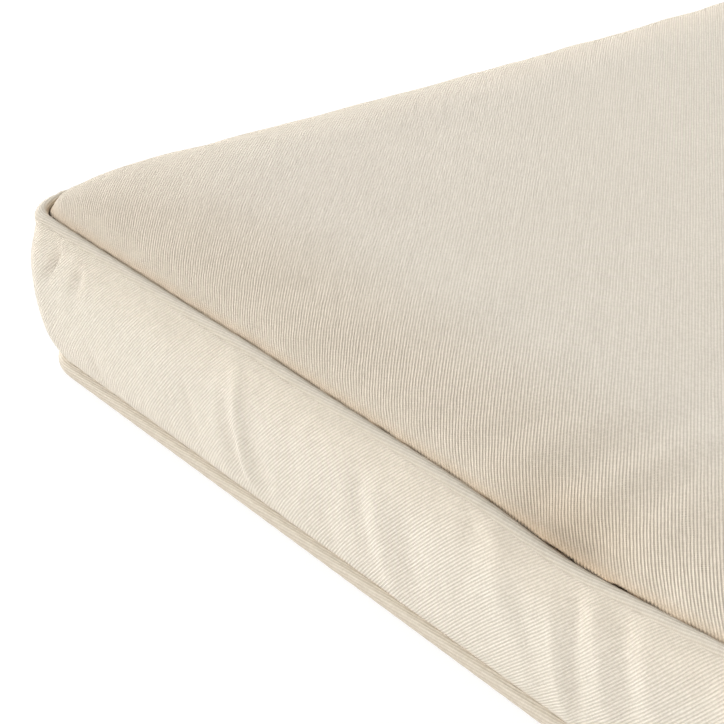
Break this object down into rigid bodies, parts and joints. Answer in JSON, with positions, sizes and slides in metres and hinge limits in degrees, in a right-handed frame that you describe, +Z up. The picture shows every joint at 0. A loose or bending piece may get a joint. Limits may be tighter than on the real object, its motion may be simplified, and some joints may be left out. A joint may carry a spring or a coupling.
{
  "type": "box-edged chair pad",
  "caption": "Square box-edged chair pad in plain ecru twill, with a crowned top, bulging sides and covered piping round its top and bottom seams.",
  "frame": {"origin": "middle of the flat underside, on the surface that the pad lies on", "axes": "+X to the pad's right, +Y to its back, +Z up through its thickness"},
  "size_m": [0.4598, 0.46, 0.0669],
  "materials": {
    "ecru_twill": "matt cotton twill with fine slanting ribs",
    "piping_twill": "the same twill, cut on the bias and drawn tight over cord"
  },
  "bodies": {
    "root": {"pad": "ecru_twill", "piping_top": "piping_twill", "piping_bottom": "piping_twill"}
  },
  "joints": []
}
